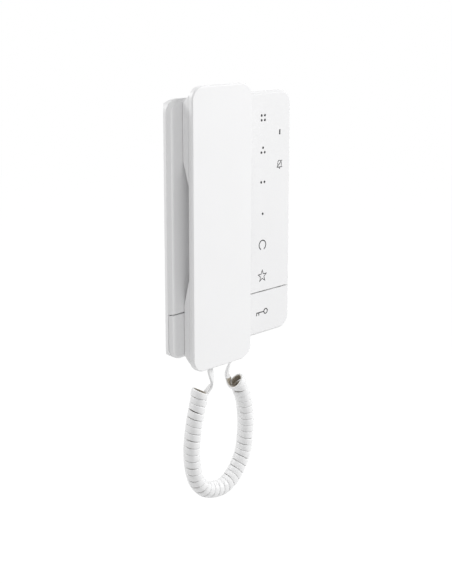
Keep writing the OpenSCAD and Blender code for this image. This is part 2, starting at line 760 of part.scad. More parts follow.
module microphone_boot() color(BLACK) difference() {
    pin(6, boss_in - 4.6, boss_in, handset_x, mouth_z);
    pin(4.85, boss_in - 5, boss_in - 0.75, handset_x, mouth_z);
    pin(1, boss_in - 1, boss_in + 1, handset_x, mouth_z);
}

weight_low = low + 61.7;
weight_high = ear_z - 40.3;

module handset_weight() color(STEEL)
    block(30, weight_high - weight_low, face_in, face_in + 3.2, handset_x,
          (weight_low + weight_high) / 2);

module handset_magnets() color(STEEL)
    for (s = [-1, 1])
        pin(magnet_r, boss_in - magnet_t, boss_in, handset_x + s * magnet_x, mouth_z);

module handset_screws() color(STEEL)
    for (p = handset_screw_at) screw(p[0], p[1], 2, 1.4, 1, screw_seat, face_in + 0.4);

module cord_grommet() color(WHITE) {
    block(grommet[0], grommet_top - grommet_low, grommet_y - grommet[1] / 2,
          grommet_y + grommet[1] / 2, cord_x, (grommet_low + grommet_top) / 2);
    block(grommet[0] + 2, 1.6, grommet_y - grommet[1] / 2, grommet_y + grommet[1] / 2, cord_x,
          grommet_top - 0.8);
}

// ---- Tubes along a route
function unit(v) = v / norm(v);
function spline(p, i, t) =
    let (a = p[i - 1], b = p[i], c = p[i + 1], d = p[i + 2])
    0.5 * (2 * b + (c - a) * t + (2 * a - 5 * b + 4 * c - d) * t * t
           + (3 * b - a - 3 * c + d) * t * t * t);
function slope(p, i, t) =
    let (a = p[i - 1], b = p[i], c = p[i + 1], d = p[i + 2])
    0.5 * (c - a + 2 * (2 * a - 5 * b + 4 * c - d) * t + 3 * (3 * b - a - 3 * c + d) * t * t);
function doubled(p) = concat([2 * p[0] - p[1]], p, [2 * p[len(p) - 1] - p[len(p) - 2]]);
// Points along a route, steps to a span, without its last point
function sampled(p, steps) =
    let (q = doubled(p))
    [for (i = [1:len(p) - 1], k = [0:steps - 1]) spline(q, i, k / steps)];

// Ring of points round c, flat along across, in the plane square to along
function ring_points(c, along, across, w, t, sides) =
    let (u = unit(across - (across * along) * along), v = cross(along, u))
    [for (k = [0:sides - 1]) let (a = 360 * (k + 0.5) / sides)
        c + t / 2 * cos(a) * u + w / 2 * sin(a) * v];

module tube(rings) {
    n = len(rings);
    s = len(rings[0]);
    polyhedron(
        points = [for (r = rings) each r],
        faces = concat(
            [for (k = [1:s - 2]) [0, k, k + 1]],
            [for (i = [0:n - 2], k = [0:s - 1])
                let (a = i * s + k, b = i * s + (k + 1) % s) each [[a, a + s, b], [b, a + s, b + s]]],
            [for (k = [1:s - 2]) [(n - 1) * s, (n - 1) * s + k + 1, (n - 1) * s + k]]));
}

function tube_rings(path, ways, w, t, sides) =
    let (n = len(path))
    [for (i = [0:n - 1])
        let (along = unit(path[min(i + 1, n - 1)] - path[max(i - 1, 0)]))
        ring_points(path[i], along, ways[i], w, t, sides)];

// ---- Wires from the grommet to the receiver and the microphone
wire_r = 0.7;
wire_y = face_in + 1.1;
wire_x = handset_x + 17.6;
WIRES = [
    [[cord_x + 1, grommet_y, grommet_top], [cord_x + 1, grommet_y, grommet_top + 1.4],
     [cord_x + 1, grommet_y, grommet_top + 2.8], [handset_x - 4.5, wire_y + 2, low + 16.5],
     [handset_x + 4, wire_y + 0.7, low + 30.5], [handset_x + 13.5, wire_y + 0.1, low + 46.5],
     [wire_x, wire_y, low + 58.5], [wire_x, wire_y, slab_z - 9], [wire_x, wire_y, slab_z + 15],
     [wire_x, wire_y, ear_z - 36], [handset_x + 12.5, wire_y + 0.7, ear_z - 28],
     [handset_x + 4.5, wire_y + 2.7, ear_z - 22], [handset_x, wire_y + 4.1, ear_z - 17],
     [handset_x, wire_y + 4.1, ear_z - 15], [handset_x, wire_y + 4.1, ear_z - 13]],
    [[cord_x - 1, grommet_y, grommet_top], [cord_x - 1, grommet_y, grommet_top + 1.4],
     [cord_x - 1, grommet_y, grommet_top + 2.8], [handset_x - 6, wire_y + 1.7, mouth_z - 6.5],
     [handset_x - 1.5, wire_y + 1.2, mouth_z - 2.5], [handset_x, wire_y + 2.7, mouth_z],
     [handset_x, wire_y + 4, mouth_z], [handset_x, boss_in - 4.6, mouth_z]]
];

module handset_wires() color([0.7, 0.1, 0.1])
    for (w = WIRES) {
        path = concat(sampled(w, 3), [w[len(w) - 1]]);
        tube(tube_rings(path, [for (p = path) [1, 0.01, 0.02]], 2 * wire_r, 2 * wire_r, 8));
    }

// ---- Curly cord
coil_y = -22;
CURL_RINGS = 8;
CORD_SIDES = 6;
// Axis of the coil in x and z, from the handset's end to the base's end
COIL_AXIS = [
    [-31, -122], [-34, -131.5], [-37, -142], [-39, -152], [-40.5, -162.5],
    [-40.5, -172.5], [-39, -183], [-35.5, -192.5], [-28.5, -200.5], [-19, -204.5],
    [-8.5, -205], [0.5, -200.5], [7.5, -193], [12.5, -183.5], [14.5, -173.5],
    [15.5, -163], [15, -152.5], [13.5, -142], [10, -132.5], [4.5, -124]
];
// Directions in which the axis runs on past its two ends
AXIS_START = [-20.5, -113.5];
AXIS_END = [-8.5, -120.5];
// Strand from the grommet to the first curl
HANDSET_LEAD = [
    [-27, -27.6, -100], [-27, -27.6, -103], [-27, -27.6, -106], [-26.2, -27.5, -109.6],
    [-24.9, -27, -113.2], [-23.7, -26.2, -116.6], [-23.3, -24.9, -119.8], [-24, -23.4, -122.2]
];
// Strand from the last curl to the plug
BASE_LEAD = [
    [2.4, -15.2, -120.4], [3, -15, -116.9], [4.7, -14.9, -113.4], [7.2, -14.8, -110],
    [9.8, -14.6, -106.4], [12, -14.3, -102.4], [13.5, -14.1, -98.4], [14, -14, -94.8],
    [14, -14, -91.5], [14, -14, -88.5]
];
// Share of a curl by which the winding ends past its last whole curl
CURL_REST = 0.25;
coil_r = (coil_od - cord_t) / 2;
curls = span_curls * (len(COIL_AXIS) - 1) + CURL_REST;
axis_points = concat([AXIS_START], COIL_AXIS, [AXIS_END]);

// The axis point, its direction and the outward direction at a number of turns
// The first curl is wound closer, and the last quarter curl runs past the last axis point
function along(turn) = (turn + 0.3 * pow(max(0, 1 - turn), 2)) / span_curls;
function axis_span(turn) = min(floor(along(turn)), len(COIL_AXIS) - 2);
function axis_at(turn) =
    let (i = axis_span(turn), p = spline(axis_points, i + 1, along(turn) - i))
    [p[0], coil_y, p[1]];
function axis_side(turn) =
    let (i = axis_span(turn), d = unit(slope(axis_points, i + 1, along(turn) - i)))
    [d[1], 0, -d[0]];
function outward(turn) =
    let (a = 180 + 360 * turn)
    cos(a) * axis_side(turn) + sin(a) * [0, -1, 0];
// The first and last curl stand a little wider
function flare(turn) = 1 + 0.14 * max(0, 1 - turn) + 0.2 * max(0, 1 - curls + turn);
function curl_at(turn) = axis_at(turn) + coil_r * flare(turn) * outward(turn);

coil_path = [for (k = [0:CURL_RINGS * curls]) curl_at(k / CURL_RINGS)];
coil_ways = [for (k = [0:CURL_RINGS * curls]) outward(k / CURL_RINGS)];
lead_in = sampled(concat(HANDSET_LEAD, [coil_path[0]]), 3);
lead_out = concat(sampled(concat([coil_path[len(coil_path) - 1]], BASE_LEAD), 3),
                  [BASE_LEAD[len(BASE_LEAD) - 1]]);
cord_path = concat(lead_in, coil_path, [for (i = [1:len(lead_out) - 1]) lead_out[i]]);
cord_ways = concat([for (p = lead_in) outward(0)], coil_ways,
                   [for (i = [1:len(lead_out) - 1]) outward(curls)]);
cord_rings = tube_rings(cord_path, cord_ways, cord_w, cord_t, CORD_SIDES);
cord_length =
    [for (i = 0, s = 0; i < len(cord_path) - 1; s = s + norm(cord_path[i + 1] - cord_path[i]), i = i + 1) s];

// Least distance between the cord's points and those that lie about a curl further on
function ring_gap(a, b) = min([for (p = a, q = b) norm(p - q)]);
cord_gap = min([for (i = [0:len(cord_rings) - 6], j = [i + 5:min(i + 12, len(cord_rings) - 1)])
    ring_gap(cord_rings[i], cord_rings[j])]);

module curly_cord() color(WHITE) {
    echo(curls = curls, cord_gap = cord_gap, cord_length = cord_length[len(cord_length) - 1]);
    tube(cord_rings);
}

wall_bracket();
rear_housing();
front_cover();
release_key();
key_symbols();
release_symbol();
status_light_guide();
status_led();
key_frame();
key_one();
key_two();
key_three();
key_four();
key_intercom();
key_star();
key_mute();
key_contacts();
main_board();
board_screws();
cover_screws();
release_switch();
release_switch_stem();
terminal_block();
terminal_screws();
line_transformer();
capacitors();
controller_chip();
ringer_basket();
ringer_cone();
ringer_magnet();
hook_plunger();
hook_switch();
base_magnets();
cord_jack();
cord_plug();
handset_front_shell();
handset_back_shell();
receiver_capsule();
receiver_gasket();
microphone();
microphone_boot();
handset_weight();
handset_magnets();
handset_screws();
handset_wires();
cord_grommet();
curly_cord();
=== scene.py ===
# A slim wall phone for a door entry system. The white base hangs on a steel wall bracket, with a
# strip of keys and a long release key. The flat handset rests in two wells of the base, and a
# curly cord runs between them. x runs to the right, y into the wall and z up. Sizes are in mm, and
# the View and Studio sections, and what Blender is given, are in metres.
import math

import bmesh
import bpy
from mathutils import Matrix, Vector


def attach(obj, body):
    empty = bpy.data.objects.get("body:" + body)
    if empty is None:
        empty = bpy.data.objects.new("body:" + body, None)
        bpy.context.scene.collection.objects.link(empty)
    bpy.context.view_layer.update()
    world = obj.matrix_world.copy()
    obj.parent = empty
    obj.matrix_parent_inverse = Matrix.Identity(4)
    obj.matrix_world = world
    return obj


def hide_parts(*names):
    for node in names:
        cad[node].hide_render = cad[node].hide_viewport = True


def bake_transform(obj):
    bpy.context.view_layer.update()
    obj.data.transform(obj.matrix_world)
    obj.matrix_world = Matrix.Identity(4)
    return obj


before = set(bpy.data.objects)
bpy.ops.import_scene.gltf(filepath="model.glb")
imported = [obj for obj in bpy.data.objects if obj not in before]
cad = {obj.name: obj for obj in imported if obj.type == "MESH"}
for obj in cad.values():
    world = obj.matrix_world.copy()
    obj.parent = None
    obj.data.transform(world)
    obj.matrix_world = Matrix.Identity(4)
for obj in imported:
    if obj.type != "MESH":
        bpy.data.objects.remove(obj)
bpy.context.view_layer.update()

# ---- View
# The camera stands in front of the phone on its left, a little higher than its top, and looks down
# by 11 degrees. The frame is 452 by 584.
camera = bpy.data.objects.new("camera", bpy.data.cameras.new("camera"))
bpy.context.scene.collection.objects.link(camera)
camera.data.sensor_width = 36
camera.data.lens = 66.50353
camera.data.shift_y = -0.14
camera.data.clip_start = 0.02
camera.location = (-0.54172, -0.57112, 0.16295)
camera.rotation_euler = (math.radians(78.63567), 0, math.radians(-44.32440))
bpy.context.scene.camera = camera
bpy.context.scene.view_settings.view_transform = "Standard"

# ---- Studio
# A pale floor and a white surround, with a soft lamp on the right of the phone, a weak one on its
# left and a broad one behind it on the left. The surround's own even light does the rest.
AIM = Vector((-0.012, -0.02, -0.045))
EVEN_LIGHT = 0.49
FLOOR_Z, FLOOR_SIZE = -0.62, 7


class Wire:
    """An output in a finish's node tree, on which sums of numbers build Math nodes."""

    def __init__(self, finish, socket):
        self.finish = finish
        self.socket = socket

    def math(self, operation, *values):
        """A Math node that does this operation on the values."""
        return self.finish.node("ShaderNodeMath", {"operation": operation}, values)

    def __add__(self, other):
        return self.math("ADD", self, other)

    def __radd__(self, other):
        return self.math("ADD", other, self)

    def __mul__(self, other):
        return self.math("MULTIPLY", self, other)

    def __gt__(self, other):
        return self.math("GREATER_THAN", self, other)

    def __lt__(self, other):
        return self.math("LESS_THAN", self, other)


class Finish:
    """A node tree, of a material or of the world, that starts empty."""

    def __init__(self, name, holder=None):
        self.holder = holder or bpy.data.materials.new(name)
        self.holder.use_nodes = True
        self.tree = self.holder.node_tree
        self.tree.nodes.clear()

    def node(self, kind, settings=None, values=(), out=0):
        """Adds a node: its settings first, then values or wires by socket, and gives an output."""
        made = self.tree.nodes.new(kind)
        for key, value in (settings or {}).items():
            if key == "stops":
                ramp = made.color_ramp
                while len(ramp.elements) < len(value):
                    ramp.elements.new(0.5)
                for element, (place, colour) in zip(ramp.elements, value):
                    element.position = place
                    element.color = (*colour, 1)
            else:
                setattr(made, key, value)
        pairs = values.items() if isinstance(values, dict) else enumerate(values)
        for key, value in pairs:
            socket = made.inputs[key]
            if isinstance(value, Wire):
                self.tree.links.new(value.socket, socket)
            elif isinstance(value, tuple) and len(value) == 3 and socket.type == "RGBA":
                socket.default_value = (*value, 1)
            else:
                socket.default_value = value
        return Wire(self, made.outputs[out]) if made.outputs else made

    def here(self):
        """The place on the piece, in metres."""
        return self.node("ShaderNodeTexCoord", out="Object")

    def noise(self, scale, detail=2, at=None, roughness=0.5):
        """Noise whose grains are about 1/scale metres wide."""
        values = {"Vector": at or self.here(), "Scale": scale, "Detail": detail,
                  "Roughness": roughness}
        return self.node("ShaderNodeTexNoise", {"noise_dimensions": "3D"}, values)

    def drawn_out(self, x, y, z):
        """The place on the piece, with each axis stretched, for a pattern that runs one way."""
        return self.node("ShaderNodeMapping", {}, {"Vector": self.here(), "Scale": (x, y, z)})

    def mix(self, share, first, second):
        """A colour that goes from the first to the second."""
        return self.node("ShaderNodeMix", {"data_type": "RGBA"},
                         {0: share, 6: first, 7: second}, out=2)

    def bump(self, height, depth, strength):
        """A relief of that depth, in metres."""
        return self.node("ShaderNodeBump", {},
                         {"Height": height, "Distance": depth, "Strength": strength})

    def surface(self, **values):
        """The shader of a solid piece, with its sockets named in small letters."""
        names = {key: key.replace("_", " ").title().replace("Ior", "IOR") for key in values}
        shader = self.node("ShaderNodeBsdfPrincipled", {},
                           {names[key]: value for key, value in values.items()})
        self.node("ShaderNodeOutputMaterial", {}, {"Surface": shader})
        return self.holder


def seen_directly(finish):
    """One for rays that show the surround itself, also in gloss or through something clear."""
    sight = finish.node("ShaderNodeLightPath", out="Is Camera Ray")
    gloss = finish.node("ShaderNodeLightPath", out="Is Glossy Ray")
    clear = finish.node("ShaderNodeLightPath", out="Is Transmission Ray")
    return sight.math("MAXIMUM", sight.math("MAXIMUM", sight, gloss), clear)


surround = bpy.data.worlds.new("surround")
bpy.context.scene.world = surround
sky = Finish("surround", surround)
even = sky.node("ShaderNodeBackground", {}, {"Color": (1.0, 1.0, 1.0), "Strength": EVEN_LIGHT})
white = sky.node("ShaderNodeBackground", {}, {"Color": (1.0, 1.0, 1.0), "Strength": 1.0})
both = sky.node("ShaderNodeMixShader", {}, {0: seen_directly(sky), 1: even, 2: white})
sky.node("ShaderNodeOutputWorld", {}, {"Surface": both})


def soft_lamp(name, place, size, power):
    """A square lamp that faces the phone."""
    lamp = bpy.data.objects.new(name, bpy.data.lights.new(name, "AREA"))
    bpy.context.scene.collection.objects.link(lamp)
    lamp.data.size = size
    lamp.data.energy = power
    lamp.location = place
    lamp.rotation_euler = (AIM - Vector(place)).to_track_quat("-Z", "Y").to_euler()
    lamp.visible_camera = False


soft_lamp("right_lamp", (1.1, -1.0, 0.8), 0.5, 18.5)
soft_lamp("left_lamp", (-0.9, -0.8, 0.25), 0.5, 1.3)
soft_lamp("left_back_lamp", (-0.85, 0.95, 0.95), 0.7, 10.5)

bpy.ops.object.select_all(action="DESELECT")
bpy.ops.mesh.primitive_plane_add(size=FLOOR_SIZE, location=(0, 0, FLOOR_Z))
floor = bpy.context.object
floor.name = "floor"
pale = Finish("pale_floor")
matt = pale.node("ShaderNodeBsdfDiffuse", {}, {"Color": (0.86, 0.86, 0.86)})
lit = pale.node("ShaderNodeEmission", {}, {"Color": (1.0, 1.0, 1.0), "Strength": 1.1})
shown = pale.node("ShaderNodeMixShader", {}, {0: seen_directly(pale) * 0.85, 1: matt, 2: lit})
pale.node("ShaderNodeOutputMaterial", {}, {"Surface": shown})
floor.data.materials.append(pale.holder)

# ---- Wall bracket
# A plate of 1.5 mm zinc-plated sheet steel, blanked with a cable hole and two pairs of screw holes.
# Four tongues are folded forward and up, and the rear housing hooks over them.
MM = 0.001
BRACKET_T = 1.5
BRACKET_HALF = (40, 65)
BRACKET_CORNER = 4
CABLE_HOLE_HALF = (22, 18)
SCREW_HOLES = [(-30, 0), (30, 0), (0, -41.75), (0, 41.75)]
SCREW_HOLE_R = 2.1
HOOK_PLACES = [(x, z) for x in (-25, 25) for z in (54, -46)]
HOOK_HALF_W, HOOK_RISE, HOOK_FRONT, HOOK_BEND = 4, 3, -5, 0.9
FLOOR_Y = -3.5


def alone(piece):
    """Makes this the one piece that is selected and active."""
    bpy.ops.object.select_all(action="DESELECT")
    bpy.context.view_layer.objects.active = piece
    piece.select_set(True)


def placed(name):
    """Names the shape that was just added, and puts its place into its mesh."""
    piece = bpy.context.object
    piece.name = piece.data.name = name
    bpy.ops.object.transform_apply(location=True, rotation=True, scale=True)
    return piece


def block(name, x, y, z):
    """A block between two values, in mm, along each axis."""
    bpy.ops.object.select_all(action="DESELECT")
    bpy.ops.mesh.primitive_cube_add(size=1, location=[(a + b) / 2 * MM for a, b in (x, y, z)])
    bpy.context.object.scale = [(b - a) * MM for a, b in (x, y, z)]
    return placed(name)


def pin(name, x, z, radius, y, sides=48):
    """A round pin square to the wall, between two depths."""
    bpy.ops.object.select_all(action="DESELECT")
    bpy.ops.mesh.primitive_cylinder_add(
        vertices=sides, radius=radius * MM, depth=(y[1] - y[0]) * MM,
        location=(x * MM, (y[0] + y[1]) / 2 * MM, z * MM), rotation=(math.pi / 2, 0, 0))
    return placed(name)


def pick(piece, kind, test):
    """Opens the piece in edit mode, with those faces or edges selected whose middle, in mm, and
    direction pass the test."""
    alone(piece)
    bpy.ops.object.mode_set(mode="EDIT")
    bpy.ops.mesh.select_mode(type=kind)
    bpy.ops.mesh.select_all(action="DESELECT")
    shape = bmesh.from_edit_mesh(piece.data)
    for part in shape.faces if kind == "FACE" else shape.edges:
        if kind == "FACE":
            middle, way = part.calc_center_median(), part.normal
        else:
            first, second = (v.co for v in part.verts)
            middle, way = (first + second) / 2, (second - first).normalized()
        if test(middle / MM, way):
            part.select_set(True)
    bmesh.update_edit_mesh(piece.data)


def closed():
    """Leaves edit mode."""
    bpy.ops.object.mode_set(mode="OBJECT")


def rounded(piece, radius, steps=10, test=lambda at, way: abs(way.y) > 0.999):
    """Rounds the edges that pass the test, which are the corners square to the wall at first."""
    pick(piece, "EDGE", test)
    bpy.ops.mesh.bevel(offset=radius * MM, segments=steps, affect="EDGES")
    closed()
    return piece


def plate(name, x, y, z, radius, steps=10):
    """A block whose four corners square to the wall are round."""
    return rounded(block(name, x, y, z), radius, steps)


def middle_plate(name, half, y, radius, steps=10):
    """A plate of that half width and half height about the middle of the base."""
    return plate(name, (-half[0], half[0]), y, (-half[1], half[1]), radius, steps)


def rim(level):
    """A test for the edges of a face that is parallel to the wall at that depth."""
    return lambda at, way: abs(at.y - level) < 0.01 and abs(way.y) < 0.001


def apply(piece, kind, **settings):
    """Gives the piece a modifier with these settings, and applies it."""
    alone(piece)
    change = piece.modifiers.new(kind.lower(), kind)
    for key, value in settings.items():
        setattr(change, key, value)
    bpy.ops.object.modifier_apply(modifier=change.name)


def combine(piece, how, tools):
    """Joins, cuts or crosses the piece with each of the tools, which are then thrown away."""
    for tool in tools:
        apply(piece, "BOOLEAN", operation=how, object=tool, solver="EXACT")
        bpy.data.objects.remove(tool)
    return piece


def join(piece, *tools):
    """Adds the tools to the piece."""
    return combine(piece, "UNION", tools)


def cut(piece, *tools):
    """Takes the tools out of the piece."""
    return combine(piece, "DIFFERENCE", tools)


def soften(piece, width, steps=2, angle=35):
    """Takes the sharpness off every edge of the piece."""
    apply(piece, "BEVEL", width=width * MM, segments=steps, limit_method="ANGLE",
          angle_limit=math.radians(angle))
    return piece


def done(piece, finish, slot, body, *nodes):
    """Shades the piece, gives it its finish, and lets it ride on its body in place of CAD nodes."""
    apply(piece, "WELD", merge_threshold=0.002 * MM)
    bpy.ops.object.shade_smooth_by_angle(angle=math.radians(32))
    apply(piece, "WEIGHTED_NORMAL", keep_sharp=True, weight=50)
    piece.data.materials.clear()
    piece.data.materials.append(finish)
    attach(piece, body)
    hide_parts(*nodes)
    return piece


zinc = Finish("zinc_plated_steel")
flakes = zinc.node("ShaderNodeTexVoronoi", {}, {"Vector": zinc.here(), "Scale": 420.0},
                   out="Distance")
rolled = zinc.noise(60, 3, zinc.drawn_out(1, 1, 14))
zinc_tone = zinc.mix(rolled, (0.50, 0.51, 0.53), (0.66, 0.67, 0.69))
zinc_tone = zinc.mix(flakes * 0.3, zinc_tone, (0.80, 0.81, 0.83))
bracket_steel = zinc.surface(base_color=zinc_tone, metallic=0.85,
                             roughness=0.32 + rolled * 0.18,
                             normal=zinc.bump(rolled, 0.00004, 0.5))

bracket = middle_plate("steel_bracket", BRACKET_HALF, (-BRACKET_T, 0), BRACKET_CORNER)
cut(bracket, middle_plate("hole", CABLE_HOLE_HALF, (-3, 1), BRACKET_CORNER))
for hx, hz in SCREW_HOLES:
    cut(bracket, pin("hole", hx, hz, SCREW_HOLE_R, (-3, 1)))
soften(bracket, 0.15)
for hx, hz in HOOK_PLACES:
    width = (hx - HOOK_HALF_W, hx + HOOK_HALF_W)
    low, high = hz - BRACKET_T / 2, hz + BRACKET_T / 2
    tongue = block("hook", width, (HOOK_FRONT, -0.8), (low, high))
    join(tongue, block("lip", width, (HOOK_FRONT, FLOOR_Y), (low, high + HOOK_RISE)))
    rounded(tongue, HOOK_BEND, 4,
            lambda at, way: abs(way.x) > 0.99 and at.y < HOOK_FRONT + 0.1 and at.z < hz)
    join(bracket, tongue)
done(bracket, bracket_steel, "bracket_steel", "base", "wall_bracket")

# ---- Rear housing
# One moulding in matt white plastic: a straight rim, four walls that draw in to the wall, and a
# floor with a window for the wall cable. Bosses inside carry the board and the front's screws.
BASE_HALF = (61.5, 92.5)
BASE_CORNER = 10
FOOT_HALF = (45.5, 76.5)
RIM_WALL, TAPER_WALL = 2, 2.8
COVER_SCREWS = [(-39.5, 41.5), (-39.5, -45.5), (14, 65.5), (14, -45.5)]
BOARD_SCREWS = [(-42, 68), (42, 68), (-38, -66), (38, -66)]
GUIDE_PINS = [(-53, -76.5), (53, -76.5)]
RIM_Y, TAPER_Y, FOOT_Y = -21.6, -18.3, -2.3
RIM_EASE = 0.8
BOARD_Y, BOARD_BACK = -10.0, -8.4
BOSS_R, COVER_BOSS_Y = 3.5, -16
PILOT_R, PASS_R, HEAD_R = 1.1, 1.6, 2.9
WINDOW_HALF = (18, 16)
WHITE_PLASTIC = (0.84, 0.84, 0.845)


def moulded(name, colour, gloss, grain):
    """Moulded plastic: a fine eroded grain, faint flow marks and patches where hands polish it."""
    made = Finish(name)
    flow = made.noise(24, 3)
    handled = made.noise(46, 4, roughness=0.6)
    grains = made.noise(2400, 2)
    tone = made.mix(flow, tuple(0.975 * c for c in colour),
                    tuple(min(1.0, 1.01 * c) for c in colour))
    return made.surface(base_color=tone, roughness=gloss + handled * 0.12 + grains * 0.05,
                        normal=made.bump(grains, grain, 0.5))


base_plastic = moulded("matt_white_plastic", WHITE_PLASTIC, 0.38, 0.00003)


def funnel(name, half, y, out_half, out_y, straight=()):
    """A block from one depth to another whose back end is drawn in, then run on straight."""
    made = block(name, (-half[0], half[0]), y, (-half[1], half[1]))
    pick(made, "FACE", lambda at, way: way.y > 0.9)
    bpy.ops.mesh.extrude_region_move(
        TRANSFORM_OT_translate={"value": (0, (out_y - y[1]) * MM, 0)})
    bpy.ops.transform.resize(value=(out_half[0] / half[0], 1, out_half[1] / half[1]))
    for depth in straight:
        bpy.ops.mesh.extrude_region_move(
            TRANSFORM_OT_translate={"value": (0, (depth - out_y) * MM, 0)})
    closed()
    return made


def crossed(piece, *tools):
    """Keeps what lies in the piece and in every tool."""
    return combine(piece, "INTERSECT", tools)


def base_plate(name, inset, y, steps=10):
    """A plate that follows the base's outline, smaller by inset all round."""
    half = (BASE_HALF[0] - inset, BASE_HALF[1] - inset)
    return middle_plate(name, half, y, BASE_CORNER - inset, steps)


# Both funnels start half a millimetre wider than the outline that crosses them, and that much
# before TAPER_Y, so that no two walls lie in one plane.
housing = funnel("rear_shell", (62, 93), (RIM_Y, TAPER_Y - 0.5), FOOT_HALF, FOOT_Y, (-0.3,))
crossed(housing, base_plate("outline", 0, (-30, 5)))
rounded(housing, RIM_EASE, 1, rim(RIM_Y))
room = funnel("room", (59.2, 90.2), (TAPER_Y - 0.51, TAPER_Y - 0.5), (43.9, 74.9), FLOOR_Y)
crossed(room, base_plate("outline", TAPER_WALL, (-30, 5)))
cut(housing, room, base_plate("room", RIM_WALL, (-25, TAPER_Y + 0.01)))
for px, pz in COVER_SCREWS:
    join(housing, pin("boss", px, pz, BOSS_R, (COVER_BOSS_Y, FLOOR_Y + 0.5)))
for px, pz in BOARD_SCREWS:
    join(housing, pin("boss", px, pz, BOSS_R, (BOARD_BACK, FLOOR_Y + 0.5)))
for px, pz in GUIDE_PINS:
    guide = pin("boss", px, pz, 3.2, (-17.3, -3))
    crossed(guide, funnel("inside", (61, 92), (RIM_Y, TAPER_Y), (45, 76), FOOT_Y))
    join(housing, guide)
cut(housing,
    middle_plate("recess", [half + 0.5 for half in BRACKET_HALF], (-BRACKET_T, 3), BRACKET_CORNER),
    block("window", (-WINDOW_HALF[0], WINDOW_HALF[0]), (-6, 3), (-WINDOW_HALF[1], WINDOW_HALF[1])),
    block("release_room", (-65, 65), (-25, -21.1), (-99, -58.4)),
    block("plug_mouth", (8.35, 19.65), (-18.3, -9.7), (-99, -79.5)))
for hx, hz in HOOK_PLACES:
    width = (hx - HOOK_HALF_W - 0.5, hx + HOOK_HALF_W + 0.5)
    cut(housing, block("hook_slot", width, (-6, 3), (hz - 4.05, hz + 0.85)))
for px, pz in COVER_SCREWS:
    cut(housing, pin("hole", px, pz, PASS_R, (-18, 2)), pin("hole", px, pz, HEAD_R, (-6.5, 2)))
for px, pz in BOARD_SCREWS:
    cut(housing, pin("hole", px, pz, PILOT_R, (-10, -4)))
for px, pz in GUIDE_PINS:
    cut(housing, pin("hole", px, pz, PASS_R, (-19, -12.3)))
done(housing, base_plastic, "base_plastic", "base", "rear_housing")


def dress(finish, *names, edge=0.1):
    """Gives CAD nodes their finish, and takes the sharpness off their edges."""
    for name in names:
        node = cad[name]
        node.data.materials.clear()
        node.data.materials.append(finish)
        weld = node.modifiers.new("weld", "WELD")
        weld.merge_threshold = 0.001 * MM
        if edge:
            bevel = node.modifiers.new("edges", "BEVEL")
            bevel.width = edge * MM
            bevel.segments = 2
            bevel.limit_method = "ANGLE"
            bevel.angle_limit = math.radians(40)


mask = Finish("green_solder_mask")
tracks = mask.node("ShaderNodeTexBrick", {"offset": 0.37, "squash": 0.6, "squash_frequency": 3},
                   {"Vector": mask.node("ShaderNodeMapping", {}, {
                       "Vector": mask.here(), "Rotation": (math.pi / 2, 0, 0)}),
                    "Scale": 90.0, "Mortar Size": 0.07, "Mortar Smooth": 0.2,
                    "Brick Width": 0.9, "Row Height": 0.16}, out="Fac")
weave = mask.noise(1100, 2)
mask_tone = mask.mix(weave, (0.016, 0.105, 0.045), (0.024, 0.135, 0.06))
mask_tone = mask.mix(tracks * 0.6, mask_tone, (0.035, 0.20, 0.085))
dress(mask.surface(base_color=mask_tone, roughness=0.28 + weave * 0.1,
                   normal=mask.bump(tracks, 0.00004, 0.6)), "main_board", edge=0)

gold = Finish("gold_plate")
buffed = gold.noise(1500, 2)
contact_gold = gold.surface(base_color=gold.mix(buffed, (0.80, 0.55, 0.20), (0.92, 0.68, 0.30)),
                            metallic=1.0, roughness=0.2 + buffed * 0.15)
dress(contact_gold, "key_contacts", edge=0)


def speckled(name, dark, pale, gloss, scale, depth, metal=0.0):
    """A filled plastic, rubber, paper or sprayed metal, with grains of two tones in relief."""
    made = Finish(name)
    grains = made.noise(scale, 3)
    return made.surface(base_color=made.mix(grains, dark, pale), metallic=metal,
                        roughness=gloss + grains * 0.15, normal=made.bump(grains, depth, 0.6))


black_plastic = speckled("black_filled_plastic", (0.012, 0.012, 0.013), (0.028, 0.028, 0.03),
                         0.42, 1800, 0.00003)
dress(black_plastic, "release_switch", "line_transformer", "controller_chip", "ringer_basket",
      "hook_switch", "cord_jack", "receiver_capsule")
dress(speckled("green_terminal_plastic", (0.05, 0.26, 0.12), (0.07, 0.32, 0.16), 0.35, 900,
               0.00002), "terminal_block")
dress(speckled("red_switch_cap", (0.48, 0.05, 0.03), (0.56, 0.07, 0.04), 0.3, 1100, 0.00002),
      "release_switch_stem")
dress(speckled("diffusing_lens", (0.74, 0.75, 0.70), (0.84, 0.85, 0.80), 0.18, 1400, 0.00001),
      "status_led")

sleeve = Finish("shrunk_capacitor_sleeve")
stripe = sleeve.noise(240, 1, sleeve.drawn_out(1, 0.05, 1)) > 0.6
can_top = sleeve.noise(700, 2)
dress(sleeve.surface(base_color=sleeve.mix(stripe * 0.7, (0.018, 0.03, 0.10), (0.42, 0.44, 0.5)),
                     roughness=0.22 + can_top * 0.1), "capacitors")

plated = Finish("bright_zinc_screws")
turned = plated.noise(900, 3, plated.drawn_out(1, 3, 1))
screw_steel = plated.surface(base_color=plated.mix(turned, (0.55, 0.56, 0.58), (0.74, 0.74, 0.75)),
                             metallic=1.0, roughness=0.24 + turned * 0.16,
                             normal=plated.bump(turned, 0.00003, 0.4))


